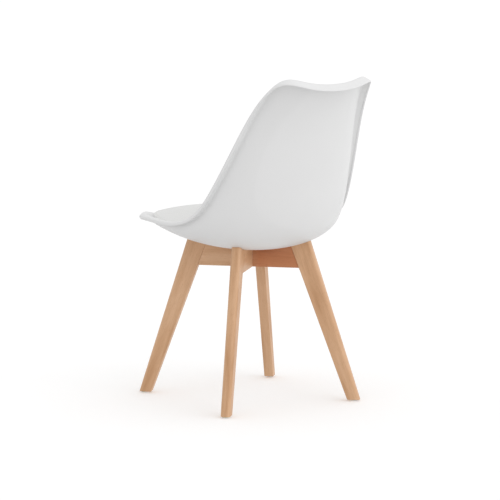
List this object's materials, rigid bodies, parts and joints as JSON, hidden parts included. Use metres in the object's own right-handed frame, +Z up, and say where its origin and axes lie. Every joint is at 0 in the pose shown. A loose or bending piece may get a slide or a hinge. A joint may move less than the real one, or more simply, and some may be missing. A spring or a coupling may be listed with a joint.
{
  "type": "dining chair",
  "caption": "Dining chair with a moulded bucket seat and back, a padded seat cushion, and a crossed frame of splayed tapered wooden legs.",
  "frame": {"origin": "on the floor, under the middle of the chair's outline", "axes": "+Z up, -Y towards the front edge of the seat, +Y towards the back, +X to the sitter's left"},
  "size_m": [0.4896, 0.5812, 0.82],
  "materials": {
    "shell_plastic": "satin white polypropylene, fine moulded texture",
    "cover_leather": "white PU leather, fine grain, soft sheen",
    "pad_foam": "open-cell upholstery foam",
    "board_plywood": "raw plywood",
    "beech": "clear satin lacquer on beech",
    "zinc_steel": "zinc plated",
    "brass_insert": "turned",
    "glide_plastic": "pale translucent plastic"
  },
  "bodies": {
    "root": {"cushion_cover": "cover_leather", "cushion_foam": "pad_foam", "cushion_screw_1": "zinc_steel", "cushion_screw_2": "zinc_steel", "cushion_screw_3": "zinc_steel", "cushion_screw_4": "zinc_steel", "cushion_board": "board_plywood", "glide_rear_left": "glide_plastic", "glide_nail_rear_left": "zinc_steel", "leg_rear_left": "beech", "dowel_rear_left_lower": "beech", "dowel_rear_left_upper": "beech", "glide_rear_right": "glide_plastic", "glide_nail_rear_right": "zinc_steel", "leg_rear_right": "beech", "dowel_rear_right_lower": "beech", "dowel_rear_right_upper": "beech", "glide_front_right": "glide_plastic", "glide_nail_front_right": "zinc_steel", "leg_front_right": "beech", "dowel_front_right_lower": "beech", "dowel_front_right_upper": "beech", "glide_front_left": "glide_plastic", "glide_nail_front_left": "zinc_steel", "leg_front_left": "beech", "dowel_front_left_lower": "beech", "dowel_front_left_upper": "beech", "cross_rail_lower": "beech", "cross_rail_upper": "beech", "threaded_insert_1": "brass_insert", "flat_washer_1": "zinc_steel", "spring_washer_1": "zinc_steel", "frame_bolt_1": "zinc_steel", "threaded_insert_2": "brass_insert", "flat_washer_2": "zinc_steel", "spring_washer_2": "zinc_steel", "frame_bolt_2": "zinc_steel", "threaded_insert_3": "brass_insert", "flat_washer_3": "zinc_steel", "spring_washer_3": "zinc_steel", "frame_bolt_3": "zinc_steel", "threaded_insert_4": "brass_insert", "flat_washer_4": "zinc_steel", "spring_washer_4": "zinc_steel", "frame_bolt_4": "zinc_steel", "seat_shell": "shell_plastic"}
  },
  "joints": []
}
